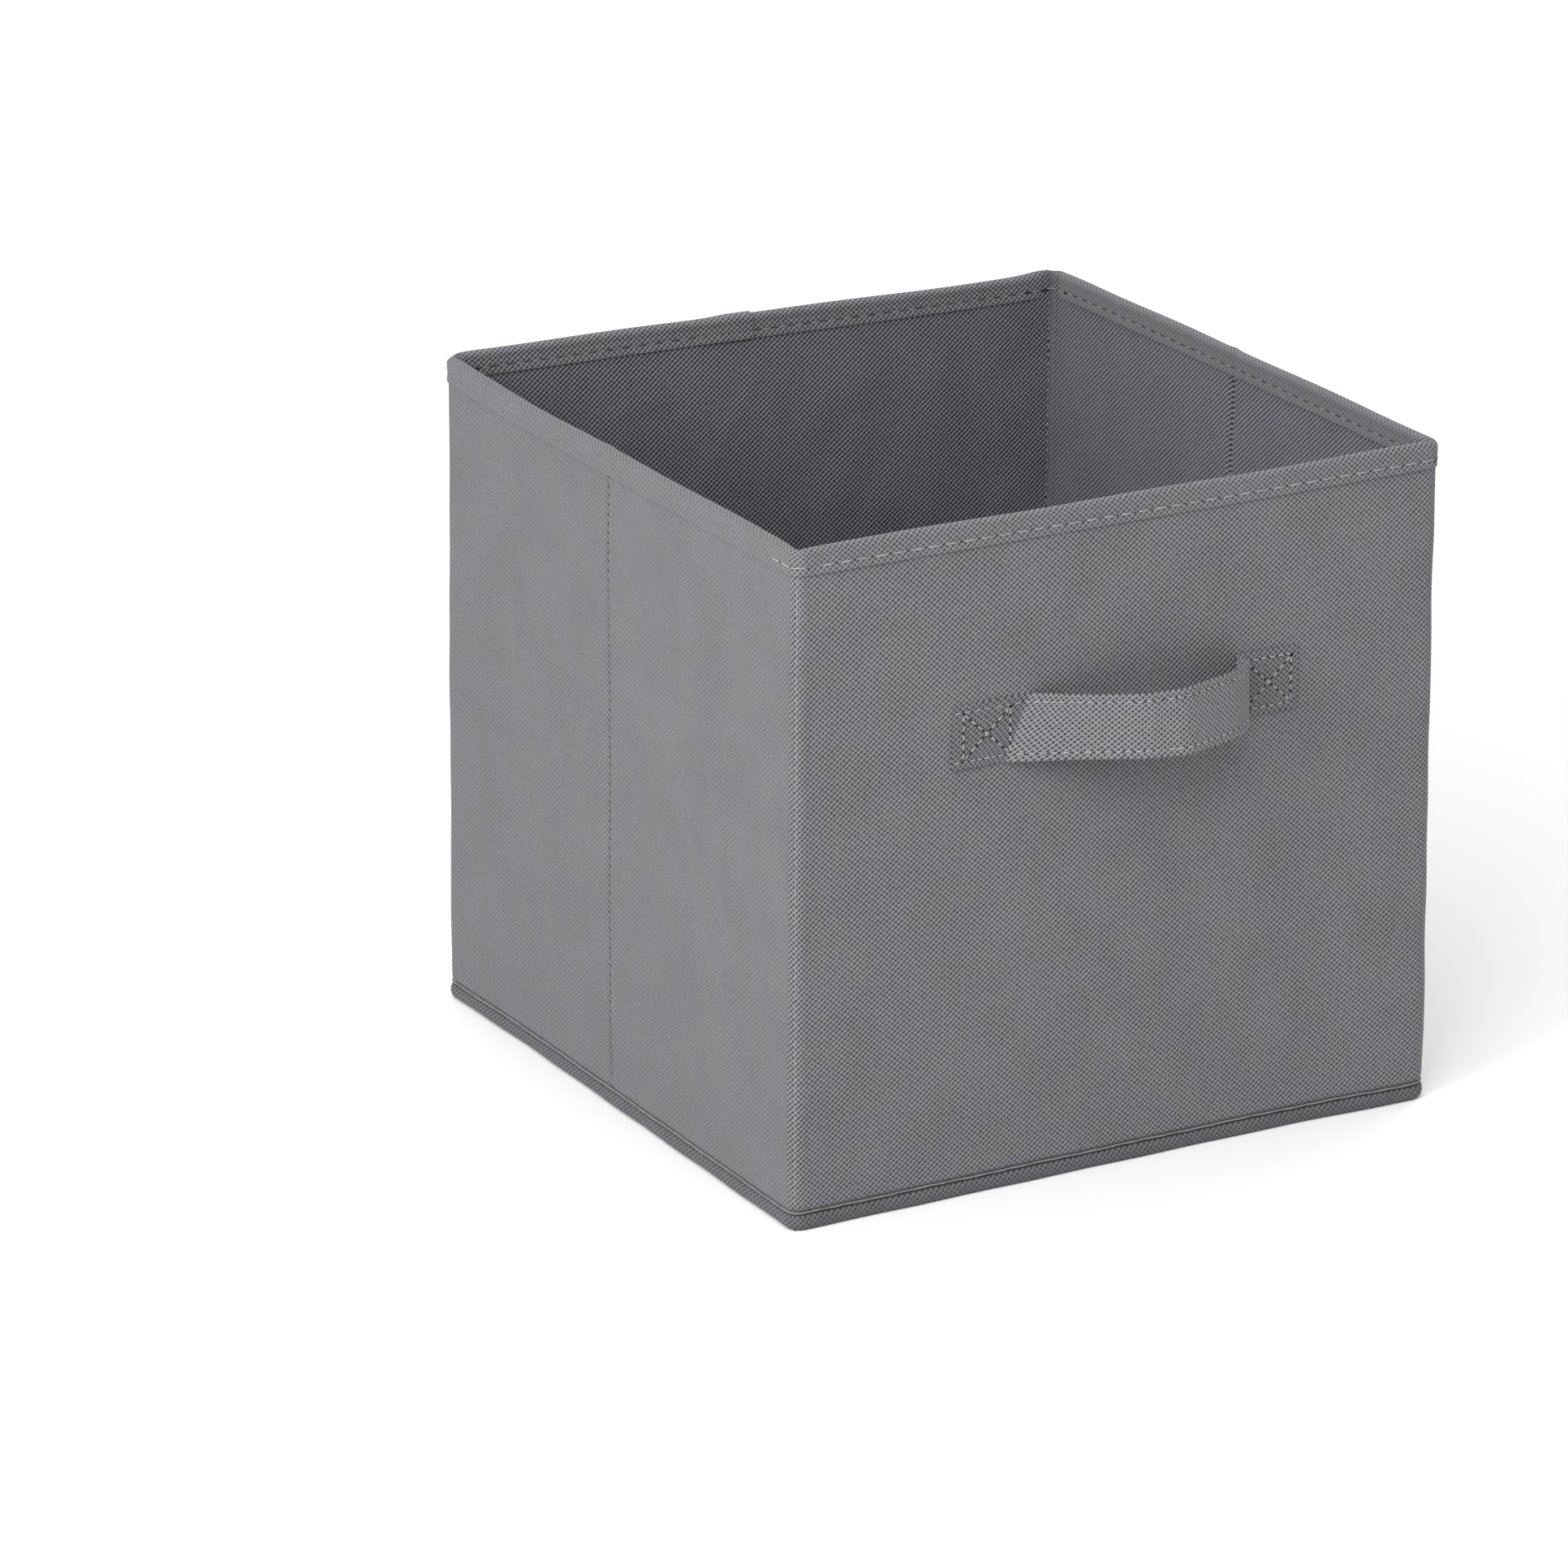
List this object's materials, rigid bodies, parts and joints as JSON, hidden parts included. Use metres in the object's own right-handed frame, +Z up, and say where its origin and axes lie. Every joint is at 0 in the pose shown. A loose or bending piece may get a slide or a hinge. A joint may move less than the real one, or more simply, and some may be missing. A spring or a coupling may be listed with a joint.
{
  "type": "fabric storage bin",
  "caption": "Open square fabric storage bin with stiff board walls, a bound rim, a sewn strap handle on its front and side walls that fold inwards to collapse flat.",
  "frame": {"origin": "centre of the bottom face, on the surface that the bin stands on", "axes": "+X is the bin's right seen from its handle side, -Y is the handle side, +Z is up"},
  "size_m": [0.28, 0.3049, 0.265],
  "materials": {
    "outer_fabric": "grey non-woven fabric with embossed pits",
    "lining_fabric": "grey non-woven lining with embossed pits",
    "binding_tape": "grey non-woven binding tape",
    "strap_fabric": "doubled grey non-woven strap",
    "thread": "light grey sewing thread",
    "board": "plain grey board"
  },
  "bodies": {
    "front_wall": {"front_outer_fabric": "outer_fabric", "front_board": "board", "front_lining": "lining_fabric", "front_rim_binding": "binding_tape", "front_rim_thread": "thread", "front_base_thread": "thread", "front_corner_left": "outer_fabric", "front_corner_right": "outer_fabric", "front_corner_thread_left": "thread", "front_corner_thread_right": "thread", "handle_end_left": "strap_fabric", "handle_end_right": "strap_fabric", "handle_box_stitch_left": "thread", "handle_box_stitch_right": "thread", "base_fabric": "outer_fabric", "insert_flap": "lining_fabric"},
    "left_front_half": {"left_front_outer_fabric": "outer_fabric", "left_front_board": "board", "left_front_lining": "lining_fabric", "left_front_rim_binding": "binding_tape", "left_front_rim_thread": "thread", "left_front_base_thread": "thread", "left_fold_thread": "thread"},
    "left_rear_half": {"left_rear_outer_fabric": "outer_fabric", "left_rear_board": "board", "left_rear_lining": "lining_fabric", "left_rear_rim_binding": "binding_tape", "left_rear_rim_thread": "thread", "left_rear_base_thread": "thread"},
    "right_front_half": {"right_front_outer_fabric": "outer_fabric", "right_front_board": "board", "right_front_lining": "lining_fabric", "right_front_rim_binding": "binding_tape", "right_front_rim_thread": "thread", "right_front_base_thread": "thread", "right_fold_thread": "thread"},
    "right_rear_half": {"right_rear_outer_fabric": "outer_fabric", "right_rear_board": "board", "right_rear_lining": "lining_fabric", "right_rear_rim_binding": "binding_tape", "right_rear_rim_thread": "thread", "right_rear_base_thread": "thread"},
    "back_wall": {"back_outer_fabric": "outer_fabric", "back_board": "board", "back_lining": "lining_fabric", "back_rim_binding": "binding_tape", "back_rim_thread": "thread", "back_base_thread": "thread", "back_corner_left": "outer_fabric", "back_corner_right": "outer_fabric", "back_corner_thread_left": "thread", "back_corner_thread_right": "thread"},
    "base_insert": {"insert_board": "board", "insert_cover": "lining_fabric", "insert_edge_thread": "thread"},
    "handle": {"handle_strap": "strap_fabric", "handle_edge_thread": "thread"}
  },
  "joints": [
    {"name": "left_front_fold", "type": "hinge", "parent": "front_wall", "child": "left_front_half", "pos_m": [-0.1352, -0.128, 0], "axis": [0, 0, -1], "range_deg": [0, 90]},
    {"name": "left_rear_fold", "type": "hinge", "parent": "left_front_half", "child": "left_rear_half", "pos_m": [-0.14015, 0.00345, 0], "axis": [0, 0, 1], "range_deg": [0, 180]},
    {"name": "back_wall_fold", "type": "hinge", "parent": "left_rear_half", "child": "back_wall", "pos_m": [-0.1352, 0.1349, 0], "axis": [0, 0, -1], "range_deg": [0, 90]},
    {"name": "right_front_fold", "type": "hinge", "parent": "front_wall", "child": "right_front_half", "pos_m": [0.1352, -0.131, 0], "axis": [0, 0, 1], "range_deg": [0, 90]},
    {"name": "right_rear_fold", "type": "hinge", "parent": "right_front_half", "child": "right_rear_half", "pos_m": [0.14015, 0.00045, 0], "axis": [0, 0, -1], "range_deg": [0, 180]},
    {"name": "base_lift", "type": "hinge", "parent": "front_wall", "child": "base_insert", "pos_m": [0, -0.1349, 0.0044], "axis": [1, 0, 0], "range_deg": [0, 90]},
    {"name": "handle_swing", "type": "hinge", "parent": "front_wall", "child": "handle", "pos_m": [0, -0.1394, 0.1826], "axis": [1, 0, 0], "range_deg": [-25, 25], "stiffness_Nm_per_rad": 0.02}
  ],
  "couplings": [
    {"joint": "left_rear_fold", "follows": "left_front_fold", "ratio": 2},
    {"joint": "back_wall_fold", "follows": "left_front_fold", "ratio": 1},
    {"joint": "right_front_fold", "follows": "left_front_fold", "ratio": 1},
    {"joint": "right_rear_fold", "follows": "left_front_fold", "ratio": 2}
  ]
}
